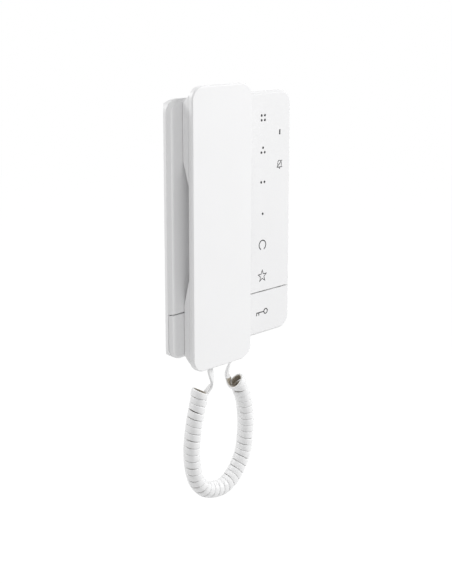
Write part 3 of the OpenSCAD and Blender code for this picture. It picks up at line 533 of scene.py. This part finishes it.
def cross_screws(name, places, head_r, head_t, shaft_r, seat, end):
    """Pan-head screws with a cross recess. seat is the depth of the head's flat side, and end that
    of the tip."""
    way = 1 if end > seat else -1
    made = []
    for i, (x, z) in enumerate(places):
        top = seat - way * head_t
        head = pin(f"{name}_{i}", x, z, head_r, sorted((seat, top)), 32)
        rounded(head, head_t * 0.55, 4, rim(top))
        for w, h in ((1.5, 0.36), (0.36, 1.5)):
            cut(head, block("slot", (x - w * head_r / 2.6, x + w * head_r / 2.6),
                            sorted((top - way * 0.5, top + way * 0.9)),
                            (z - h * head_r / 2.6, z + h * head_r / 2.6)))
        join(head, pin("shaft", x, z, shaft_r, sorted((end, seat - way * 0.09)), 24))
        made.append(head)
    for other in made[1:]:
        join(made[0], other)
    return made[0]


for screw_set, places, sizes, node in (
        ("board_screw", BOARD_SCREWS, (2.4, 1.4, 1.05, BOARD_Y, -4.5), "board_screws"),
        ("cover_screw", COVER_SCREWS, (2.6, 1.6, 1.05, -6.5, -19), "cover_screws")):
    done(cross_screws(screw_set, places, *sizes), screw_steel, "screw_steel", "base", node)
dress(screw_steel, "terminal_screws")

# ---- Ringer
# A small loudspeaker behind the five slots: a steel basket painted black, a doped paper cone and a
# ring magnet, pressed into a ring of the front.
paper = Finish("doped_cone_paper")
fibres = paper.noise(1300, 4, paper.drawn_out(1, 1, 3))
dress(paper.surface(base_color=paper.mix(fibres, (0.05, 0.05, 0.05), (0.12, 0.115, 0.11)),
                    roughness=0.75, normal=paper.bump(fibres, 0.0001, 0.6)), "ringer_cone", edge=0)
nickel = Finish("nickel_plated_magnet")
hazy = nickel.noise(500, 3)
magnet_metal = nickel.surface(base_color=nickel.mix(hazy, (0.62, 0.61, 0.58), (0.78, 0.77, 0.74)),
                              metallic=1.0, roughness=0.16 + hazy * 0.14)
dress(magnet_metal, "ringer_magnet", "base_magnets")

# ---- Keys
# The panel's skin over each key is thin enough to give. Behind it a silicone rubber frame stands on
# four stakes of the front, with a round head and a stem for every key.
key_rubber = speckled("grey_silicone_rubber", (0.50, 0.50, 0.49), (0.60, 0.60, 0.59), 0.62, 1500,
                      0.00004)
dress(key_rubber, "key_frame", "key_one", "key_two", "key_three", "key_four", "key_intercom",
      "key_star", "key_mute")

# ---- Status light guide
# A smoked polycarbonate bar that carries the light of one LED on the board to the front face.
smoke = Finish("smoked_light_guide")
streaks = smoke.noise(700, 2)
dress(smoke.surface(base_color=smoke.mix(streaks, (0.02, 0.02, 0.022), (0.035, 0.035, 0.037)),
                    roughness=0.16 + streaks * 0.1, coat_weight=0.3, coat_roughness=0.08),
      "status_light_guide", edge=0.08)

# ---- Front cover
# The white front panel with a bevelled edge, two wells for the handset's bosses, five slots before
# the ringer and a tongue that runs down between the arms of the release key. One moulding, screwed
# on from behind.
FRONT_Y, PANEL_Y = -24.0, -22.0
FRONT_BEVEL = 1.8
PANEL_EASE = 0.22
LIP_GAP, LIP_T = 0.3, 1.4
TONGUE = (-46, 6)
GROOVE = (-59.35, -58.45)
EAR = (-20, 69.5)
MOUTH = (-20, -72.5)
EAR_BOSS_HALF = (22, 15)
MOUTH_BOSS_HALF = (20, 10)
BOSS_CORNER = 8
KEY_X = 31
KEY_Z = [73.3, 49.26, 25.23, 1.19, -22.85, -46.88]
MUTE = (45, 37.25)
STAKES = [(26.5, 61.28), (26.5, -10.83), (49, 13.21), (49, -34.87)]
RINGER = (-20, -1.5)
RINGER_R, COLLAR_R = 18.2, 19.7
SLOT_PITCH, SLOT_HALF = 4.5, (11, 0.9)
HOOK_AT = (-34, 62)
MAGNET_SIDE, MAGNET_R, MAGNET_SEAT_R = 14, 3.6, 4.9


def front_sheet(name):
    """The whole front with its round corners and bevelled edge, before it is parted in two."""
    return rounded(base_plate(name, 0, (FRONT_Y, PANEL_Y), 14), FRONT_BEVEL, 1, rim(FRONT_Y))


def oblong(name, middle, half, grow, y):
    """A round-cornered block about a middle, larger by grow all round."""
    x, z = middle
    w, h = half[0] + grow, half[1] + grow
    return plate(name, (x - w, x + w), y, (z - h, z + h), BOSS_CORNER + grow, 8)


panel = front_sheet("front_panel")
cut(panel,
    block("left_arm", (-70, TONGUE[0]), (-30, -20), (-99, GROOVE[1])),
    block("right_arm", (TONGUE[1], 70), (-30, -20), (-99, GROOVE[1])),
    block("below", (-50, 10), (-30, -20), (-99, -86)))
for middle, half in ((EAR, EAR_BOSS_HALF), (MOUTH, MOUTH_BOSS_HALF)):
    join(panel, oblong("cup", middle, half, 2.2, (-23, -17.9)))
    cut(panel, oblong("well", middle, half, 0.6, (-26, -19.5)))
for i in range(-2, 3):
    x, z = RINGER[0], RINGER[1] + SLOT_PITCH * i
    cut(panel, plate("slot", (x - SLOT_HALF[0], x + SLOT_HALF[0]), (-26, -20),
                     (z - SLOT_HALF[1], z + SLOT_HALF[1]), SLOT_HALF[1] - 0.01, 6))
cut(panel, block("light_hole", (48.3, 49.7), (-26, -20), (59.28, 63.28)),
    pin("hook_hole", *HOOK_AT, 2.3, (-21, -16)))
soften(panel, PANEL_EASE, 2, 30)
lip = base_plate("lip", RIM_WALL + LIP_GAP, (-22.1, -19))
cut(lip, base_plate("inside", RIM_WALL + LIP_GAP + LIP_T, (-30, -10)),
    block("gap", (-70, 70), (-30, -10), (-99, -54.9)))
join(panel, lip)
for px, pz in COVER_SCREWS:
    join(panel, pin("boss", px, pz, BOSS_R, (-22.1, COVER_BOSS_Y)))
collar = pin("collar", *RINGER, COLLAR_R, (-22.1, -20), 64)
join(panel, cut(collar, pin("inside", *RINGER, RINGER_R, (-23, -19), 64)))
for px, pz in STAKES:
    join(panel, pin("stake", px, pz, 1.2, (-22.1, -17.4), 24))
for x in (MOUTH[0] - MAGNET_SIDE, MOUTH[0] + MAGNET_SIDE):
    seat = pin("seat", x, MOUTH[1], MAGNET_SEAT_R, (-18, -15.4))
    join(panel, cut(seat, pin("inside", x, MOUTH[1], MAGNET_R, (-17.9, -15))))
for x, z in [(KEY_X, z) for z in KEY_Z] + [MUTE]:
    cut(panel, pin("head_room", x, z, 6, (-23.1, -20)))
for px, pz in COVER_SCREWS:
    cut(panel, pin("pilot", px, pz, PILOT_R, (-21.5, -15)))
done(panel, base_plastic, "base_plastic", "base", "front_cover")

# ---- Release key
# The lower end of the front, as wide as the base and cut out round the tongue, moulded on its own
# in the same white. Two guide pins and three tabs carry it, and a post works the switch behind it.
TAB_PLACES = (-54, 24, 44)
POST_AT = (KEY_X, -75.2)
release_bar = front_sheet("release_bar")
cut(release_bar, block("above", (-70, 70), (-30, -20), (GROOVE[0], 99)),
    block("cutout", (TONGUE[0] - 0.5, TONGUE[1] + 0.5), (-30, -20), (-86.5, -50)))
soften(release_bar, PANEL_EASE, 2, 30)
for x in TAB_PLACES:
    tab = block("tab", (x - 4, x + 4), (-22.1, -20.6), (-62.4, -55.4))
    cut(tab, block("relief", (x - 5, x + 5), (-23, -21.8), (GROOVE[0], -50)))
    join(release_bar, soften(tab, 0.1))
for px, pz in GUIDE_PINS:
    join(release_bar, pin("guide", px, pz, 1.5, (-22.1, -13.8), 32))
join(release_bar, pin("post", *POST_AT, 2.2, (-22.1, -14.6), 32))
key_plastic = moulded("white_key_plastic", WHITE_PLASTIC, 0.36, 0.00003)
done(release_bar, key_plastic, "key_plastic", "release", "release_key")

# ---- Hook plunger
# A button of the same plastic in the floor of the ear well. The handset's boss holds it in when the
# handset is hung up. A flange keeps it in its hole, and its end works the hook switch.
BUTTON_TOP = -19.55
plunger = pin("hook_button", *HOOK_AT, 2.2, (BUTTON_TOP, -14.3), 32)
rounded(plunger, 0.5, 4, rim(BUTTON_TOP))
join(plunger, pin("flange", *HOOK_AT, 3.8, (-15.4, -14.2), 32))
done(plunger, key_plastic, "key_plastic", "hook", "hook_plunger")

# ---- Printed symbols
# Screen-printed in dark grey ink: four to one dots for the call keys, an open ring, a star, a
# crossed bell at the outer column and a door key on the release key.
ink = Finish("dark_grey_ink")
pinholes = ink.noise(5200, 2)
print_ink = ink.surface(base_color=ink.mix(pinholes, (0.022, 0.022, 0.024), (0.035, 0.035, 0.037)),
                        roughness=0.42 + pinholes * 0.1)
dress(print_ink, "key_symbols", "release_symbol", edge=0)

# ---- Handset's front shell
# The flat outer shell of the handset in the same white, a little glossier, with a fine bevel round
# its face. A tray 4.2 mm deep with four screw posts, a ring round the receiver and two ribs.
HANDSET_X = (-49, 9)
HANDSET_Z = (-102.8, 101.2)
HANDSET_CORNER, SHELL_WALL = 10, 1.6
FACE_Y, SLAB_Y, BLOCK_Y = -34.0, -29.8, -24.3
HANDSET_SCREWS = [(-44.5, 69.5), (4.5, 69.5), (-44.5, -72.5), (4.5, -72.5)]
handset_plastic = moulded("satin_white_plastic", (0.885, 0.885, 0.89), 0.30, 0.000018)


def inner_plate(name, inset, y):
    """A plate that follows the handset's outline, smaller by inset all round."""
    return plate(name, (HANDSET_X[0] + inset, HANDSET_X[1] - inset), y,
                 (HANDSET_Z[0] + inset, HANDSET_Z[1] - inset), HANDSET_CORNER - inset, 12)


face = inner_plate("handset_face", 0, (FACE_Y, SLAB_Y))
rounded(face, 0.8, 1, rim(FACE_Y))
soften(face, 0.16, 2, 30)
cut(face, inner_plate("room", SHELL_WALL, (-32.4, -28)))
for px, pz in HANDSET_SCREWS:
    post = pin("post", px, pz, 2.4, (-32.5, -29.7), 32)
    join(face, cut(post, pin("pilot", px, pz, 1.05, (-32.4, -29), 24)))
collar = pin("collar", *EAR, 12.6, (-32.5, -29.5), 64)
join(face, cut(collar, pin("inside", *EAR, 11, (-32.4, -29), 64)))
for x in (-35.8, -4.2):
    join(face, block("rib", (x - 0.6, x + 0.6), (-32.5, -30), (-20.8, 19.2)))
done(face, handset_plastic, "handset_plastic", "handset", "handset_front_shell")

# ---- Handset's back shell
# The inner shell, with a thick block at the ear and one at the mouth, a hollow grip between them,
# and two bosses that drop into the wells. Sound holes are moulded in, and four screws hold it.
EAR_SIDE = [(32.5, SLAB_Y), (49.5, BLOCK_Y), (89.5, BLOCK_Y), (95.3, SLAB_Y)]
MOUTH_SIDE = [(-96.6, SLAB_Y), (-90.8, BLOCK_Y), (-53.5, BLOCK_Y), (-32.5, SLAB_Y)]
BOSS_TOP = -19.8
GRIP_Z, GRIP_RISE = (-47.5, 46.5), 3.6
SOUND_HOLE_R, SOUND_RING_R = 1.1, 5


def sloped(name, half, side, inset=0.0, raised=0.0):
    """A block right across the handset whose ends slope, from a side outline of (z, y) points."""
    low, flat_low, flat_high, high = (z for z, _ in side)
    made = block(name, (-20 - half, -20 + half), (SLAB_Y - 0.4 + raised, SLAB_Y + raised),
                 (low + inset, high - inset))
    pick(made, "FACE", lambda at, way: way.y > 0.9)
    bpy.ops.mesh.extrude_region_move(
        TRANSFORM_OT_translate={"value": (0, (BLOCK_Y - SLAB_Y) * MM, 0)})
    shape = bmesh.from_edit_mesh(made.data)
    for vert in shape.verts:
        if vert.select:
            vert.co.z = (flat_low + inset if vert.co.z < (low + high) / 2 * MM
                         else flat_high - inset) * MM
    bmesh.update_edit_mesh(made.data)
    closed()
    return made


def grip_block(name, x, y, top_width):
    """A block as long as the grip, drawn out towards the wall and narrowed to that width."""
    made = block(name, x, y, GRIP_Z)
    pick(made, "FACE", lambda at, way: way.y > 0.9)
    bpy.ops.mesh.extrude_region_move(TRANSFORM_OT_translate={"value": (0, GRIP_RISE * MM, 0)})
    bpy.ops.transform.resize(value=(top_width / (x[1] - x[0]), 1, 1))
    closed()
    return made


back = inner_plate("handset_back", 1.75, (SLAB_Y - 1.4, SLAB_Y))
for name, side in (("ear_block", EAR_SIDE), ("mouth_block", MOUTH_SIDE)):
    part = sloped(name, 29, side)
    crossed(part, inner_plate("outline", 0, (SLAB_Y + 0.2, BLOCK_Y + 1)))
    soften(part, 0.35, 3, 30)
    join(back, part)
join(back, soften(grip_block("grip", (-43, 3), (SLAB_Y - 0.5, SLAB_Y), 38), 0.4, 3, 30))
for middle, half in ((EAR, EAR_BOSS_HALF), (MOUTH, MOUTH_BOSS_HALF)):
    boss = oblong("boss", middle, half, 0, (-25.3, BOSS_TOP))
    join(back, rounded(boss, 0.5, 3, rim(BOSS_TOP)))
for side in (EAR_SIDE, MOUTH_SIDE):
    room = sloped("room", 26, side, 0.7, -1.6)
    cut(back, crossed(room, inner_plate("outline", 2.95, (-34, -20))))
cut(back, grip_block("hollow", (-41.2, 1.2), (-32, -31.4), 34.4))
for middle, half in ((EAR, EAR_BOSS_HALF), (MOUTH, MOUTH_BOSS_HALF)):
    cut(back, oblong("room", middle, half, -SHELL_WALL, (-32, BOSS_TOP - SHELL_WALL)))
for px, pz in HANDSET_SCREWS:
    join(back, pin("post", px, pz, 3.2, (-29.6, -25.3)))
    cut(back, pin("hole", px, pz, 1.2, (-32, -23)), pin("seat", px, pz, 2.3, (-26.8, -23)),
        pin("clearance", px, pz, 2.6, (-33, -29.6)))
holes = [EAR] + [(EAR[0] + SOUND_RING_R * math.cos(a), EAR[1] + SOUND_RING_R * math.sin(a))
                 for a in (math.radians(60 * k) for k in range(6))]
for px, pz in holes:
    cut(back, pin("sound_hole", px, pz, SOUND_HOLE_R, (-23, -18), 24))
cut(back, pin("sound_hole", *MOUTH, 1, (-23, -18), 24),
    block("grommet_mouth", (-30.25, -23.75), (-29.25, -25.95), (-101.5, -89.5)))
done(back, handset_plastic, "handset_plastic", "handset", "handset_back_shell")

# ---- Inside the handset
# A receiver capsule on a foam gasket, an electret microphone in a rubber boot, a steel bar that
# gives the handset its weight, two magnets that find the ones in the base, and two thin wires.
dress(key_rubber, "receiver_gasket")
bar_steel = speckled("blackened_steel", (0.30, 0.30, 0.31), (0.42, 0.42, 0.43), 0.35, 700, 0.00003,
                     0.9)
dress(bar_steel, "handset_weight", "microphone")
dress(magnet_metal, "handset_magnets")
dress(speckled("black_boot_rubber", (0.015, 0.015, 0.015), (0.03, 0.03, 0.03), 0.7, 1600, 0.00004),
      "microphone_boot")
dress(speckled("red_wire_jacket", (0.50, 0.03, 0.02), (0.58, 0.05, 0.03), 0.4, 1200, 0.00001),
      "handset_wires", edge=0)
done(cross_screws("handset_screw", HANDSET_SCREWS, 2, 1.4, 1, -26.8, -32), screw_steel,
     "screw_steel", "handset", "handset_screws")

# ---- Grommet and plug
# The cord leaves the handset through a tapered strain relief of soft PVC with bending slots, and
# ends in a clear modular plug with four gold contacts and a spring latch, in the jack in the base.
CORD_WHITE = (0.86, 0.86, 0.865)
FIRST_SLIT, SLIT_PITCH = -92, 2
CONTACTS = (11.45, 13.15, 14.85, 16.55)
grommet = block("strain_relief", (-30.2, -23.8), (-29.2, -26), (-89.9, -88.3))
pick(grommet, "FACE", lambda at, way: way.z < -0.9)
bpy.ops.mesh.extrude_region_move(TRANSFORM_OT_translate={"value": (0, 0, -10.1 * MM)})
bpy.ops.transform.resize(value=(0.86, 0.86, 1))
closed()
rounded(grommet, 1, 5, lambda at, way: abs(way.z) > 0.9)
for k in range(4):
    z = FIRST_SLIT - SLIT_PITCH * k
    for x in ((-31, -28.4), (-25.6, -23)):
        cut(grommet, block("slit", x, (-30, -25), (z - 0.35, z + 0.35)))
join(grommet, block("flange", (-31.2, -22.8), (-29.2, -26), (-89.9, -88.3)))
soften(grommet, 0.12)
soft_pvc = speckled("soft_white_pvc", (0.82, 0.82, 0.82), CORD_WHITE, 0.4, 1300, 0.00002)
done(grommet, soft_pvc, "cord_jacket", "handset", "cord_grommet")

plug = block("modular_plug", (10.15, 17.85), (-17.2, -10.8), (-84.5, -72.5))
cut(plug, *[block("contact_slot", (x - 0.25, x + 0.25), (-18, -15.8), (-76.5, -72))
            for x in CONTACTS])
cut(plug, block("latch_room", (12, 12.6), (-11.6, -10), (-84.6, -75)),
    block("latch_room", (15.4, 16), (-11.6, -10), (-84.6, -75)))
boot = block("boot", (11.5, 16.5), (-15.8, -12.2), (-88.5, -83.6))
rounded(boot, 0.9, 4, lambda at, way: abs(way.z) > 0.9)
join(plug, soften(boot, 0.2))
soften(plug, 0.15)
clear = Finish("clear_polycarbonate")
haze = clear.noise(500, 2)
contact = (clear.node("ShaderNodeSeparateXYZ", {}, {0: clear.here()}, out="Y") < -0.0158)
done(plug, clear.surface(base_color=clear.mix(contact, clear.mix(haze, (0.80, 0.82, 0.84),
                                                                 (0.88, 0.90, 0.92)),
                                              (0.85, 0.62, 0.25)),
                         roughness=0.08 + haze * 0.08, ior=1.58, transmission_weight=0.55),
     "plug_plastic", "base", "cord_plug")

# ---- Curly cord
# A flat four-wire cord in a soft white PVC jacket. It was wound on a rod and set with heat, so it
# keeps 38 close left-handed curls, and its straight ends run to the grommet and to the plug.
CURL_MIDDLE_Y = -22.0
CURL_OUTER = 12.4
JACKET_T = 2.0
JACKET_W, END_W = 5.0, 4.6
CURLS = 38.25
CURL_STEPS = 28
LEAST_GAP = 0.15
FIRST_WIDER, LAST_WIDER, FIRST_SHIFT = 0.14, 0.2, 0.3
# Middle of the curls in x and z, two curls from point to point, and where it runs on past its ends
CURL_LINE = [
    (-20.5, -113.5), (-31, -122), (-34, -131.5), (-37, -142), (-39, -152), (-40.5, -162.5),
    (-40.5, -172.5), (-39, -183), (-35.5, -192.5), (-28.5, -200.5), (-19, -204.5), (-8.5, -205),
    (0.5, -200.5), (7.5, -193), (12.5, -183.5), (14.5, -173.5), (15.5, -163), (15, -152.5),
    (13.5, -142), (10, -132.5), (4.5, -124), (-8.5, -120.5),
]
HANDSET_END = [
    (-27, -27.6, -100), (-27, -27.6, -103), (-27, -27.6, -106), (-26.2, -27.5, -109.6),
    (-24.9, -27, -113.2), (-23.7, -26.2, -116.6), (-23.3, -24.9, -119.8), (-24, -23.4, -122.2),
]
BASE_END = [
    (2.4, -15.2, -120.4), (3, -15, -116.9), (4.7, -14.9, -113.4), (7.2, -14.8, -110),
    (9.8, -14.6, -106.4), (12, -14.3, -102.4), (13.5, -14.1, -98.4), (14, -14, -94.8),
    (14, -14, -91.5), (14, -14, -88.5),
]


def between(points, i, t):
    """The smooth line through points i and i + 1, at share t of the way, and its direction."""
    a, b, c, d = (Vector(points[i + k]) for k in (-1, 0, 1, 2))
    place = 0.5 * (2 * b + (c - a) * t + (2 * a - 5 * b + 4 * c - d) * t ** 2
                   + (3 * b - a - 3 * c + d) * t ** 3)
    way = 0.5 * (c - a + 2 * (2 * a - 5 * b + 4 * c - d) * t
                 + 3 * (3 * b - a - 3 * c + d) * t ** 2)
    return place, way.normalized()


def curl(turn):
    """The cord's middle at that turn, and the way out from the middle of the curls."""
    along = (turn + FIRST_SHIFT * max(0, 1 - turn) ** 2) / 2
    i = min(int(along), len(CURL_LINE) - 4)
    place, way = between(CURL_LINE, i + 1, along - i)
    side = Vector((way[1], 0, -way[0]))
    angle = math.radians(180 + 360 * turn)
    out = math.cos(angle) * side + math.sin(angle) * Vector((0, -1, 0))
    wide = 1 + FIRST_WIDER * max(0, 1 - turn) + LAST_WIDER * max(0, 1 - CURLS + turn)
    middle = Vector((place[0], CURL_MIDDLE_Y, place[1]))
    return middle + (CURL_OUTER - JACKET_T) / 2 * wide * out, out


def strand(points, steps):
    """Points along a straight end of the cord, without its last one."""
    points = [Vector(p) for p in points]
    ends = [2 * points[0] - points[1], *points, 2 * points[-1] - points[-2]]
    return [between(ends, i, k / steps)[0] for i in range(1, len(points)) for k in range(steps)]


def turned(stops, count):
    """Directions that turn smoothly through the stops, which are pairs of a share and a way."""
    ways = []
    for k in range(count):
        share = k / max(1, count - 1)
        for (start, a), (end, b) in zip(stops, stops[1:]):
            if start <= share <= end:
                t = (share - start) / (end - start)
                t = t * t * (3 - 2 * t)
                ways.append((Vector(a) * (1 - t) + Vector(b) * t).normalized())
                break
    return ways


wound = [curl(k / CURL_STEPS) for k in range(int(CURLS * CURL_STEPS) + 1)]
lead_in = strand(HANDSET_END + [tuple(wound[0][0])], 5)
lead_out = strand([tuple(wound[-1][0])] + BASE_END, 5)[1:] + [Vector(BASE_END[-1])]
route = lead_in + [p for p, _ in wound] + lead_out
ways = turned([(0, (0, -1, 0)), (0.3, (0, -1, 0)), (0.65, (0.7, -0.7, 0)), (1, wound[0][1])],
              len(lead_in) + 1)[:-1]
ways += [out for _, out in wound]
ways += turned([(0, wound[-1][1]), (0.35, (-0.7, 0.7, 0)), (0.7, (-1, 0, 0)), (1, (0, -1, 0))],
               len(lead_out) + 1)[1:]
coiled = [0.0] * len(lead_in) + [1.0] * len(wound) + [0.0] * len(lead_out)


def room_for(k):
    """The width that leaves a small gap to the curls on both sides, at one step of the winding."""
    others = [j for j in (k - CURL_STEPS, k + CURL_STEPS) if 0 <= j < len(wound)]
    return min([JACKET_W] + [(wound[j][0] - wound[k][0]).length - LEAST_GAP for j in others])


widths = ([END_W] * len(lead_in) + [room_for(k) for k in range(len(wound))]
          + [END_W] * len(lead_out))


def jacket_section(half_w, half_t, steps):
    """A flat section with round corners, as (across, out) pairs all the way round."""
    r = 0.62 * half_t
    return [(x * (half_w - r) + r * math.cos(a), y * (half_t - r) + r * math.sin(a))
            for x, y, start in ((1, 1, math.pi / 2), (1, -1, 0), (-1, -1, -math.pi / 2),
                                (-1, 1, math.pi))
            for a in (start - math.pi / 2 * k / steps for k in range(steps + 1))]


mesh = bmesh.new()
# The layer inner is a painted shade mask: it is one on the inner half of the jacket along the
# curls, where the coil's own shade falls, and nought on the straight ends.
layer = mesh.verts.layers.float.new("inner")
rings = []
for i, place in enumerate(route):
    ahead = (route[min(i + 1, len(route) - 1)] - route[max(i - 1, 0)]).normalized()
    out = (ways[i] - ways[i].dot(ahead) * ahead).normalized()
    across = ahead.cross(out)
    rings.append([])
    for u, v in jacket_section(widths[i] / 2, JACKET_T / 2, 3):
        vert = mesh.verts.new((place + u * across + v * out) * MM)
        vert[layer] = coiled[i] * max(0.0, -v / (JACKET_T / 2))
        rings[-1].append(vert)
sides = len(rings[0])
for a, b in zip(rings, rings[1:]):
    for k in range(sides):
        mesh.faces.new((a[k], a[(k + 1) % sides], b[(k + 1) % sides], b[k]))
mesh.faces.new(rings[0][::-1])
mesh.faces.new(rings[-1])
bmesh.ops.recalc_face_normals(mesh, faces=mesh.faces)
tube = bpy.data.meshes.new("curly_cord_piece")
mesh.to_mesh(tube)
mesh.free()
tube.shade_smooth()
cord = bpy.data.objects.new("curly_cord_piece", tube)
bpy.context.scene.collection.objects.link(cord)

# The cord's white, with painted shade: the inside of the curls is turned dark warm brown to stand
# in for the shade within the coil.
pvc = Finish("cord_jacket")
inner = pvc.node("ShaderNodeAttribute", {"attribute_name": "inner"}, out="Fac")
painted_shade_share = pvc.node("ShaderNodeValToRGB", {"stops": [(0.0, (0.0, 0.0, 0.0)), (0.8, (1.0, 1.0, 1.0))]},
                {0: inner})
tone = pvc.mix(pvc.noise(160, 3), (0.84, 0.84, 0.84), (0.87, 0.87, 0.875))
jacket_with_painted_shade = pvc.mix(painted_shade_share, tone, (0.34, 0.30, 0.24))
drag = pvc.noise(900, 2)
pvc.surface(base_color=jacket_with_painted_shade, roughness=0.36 + drag * 0.1, normal=pvc.bump(drag, 0.00001, 0.3))
cord.data.materials.append(pvc.holder)
length = sum((b - a).length for a, b in zip(route, route[1:])) * MM
[p * MM for p in route]
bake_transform(cord)
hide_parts("curly_cord")
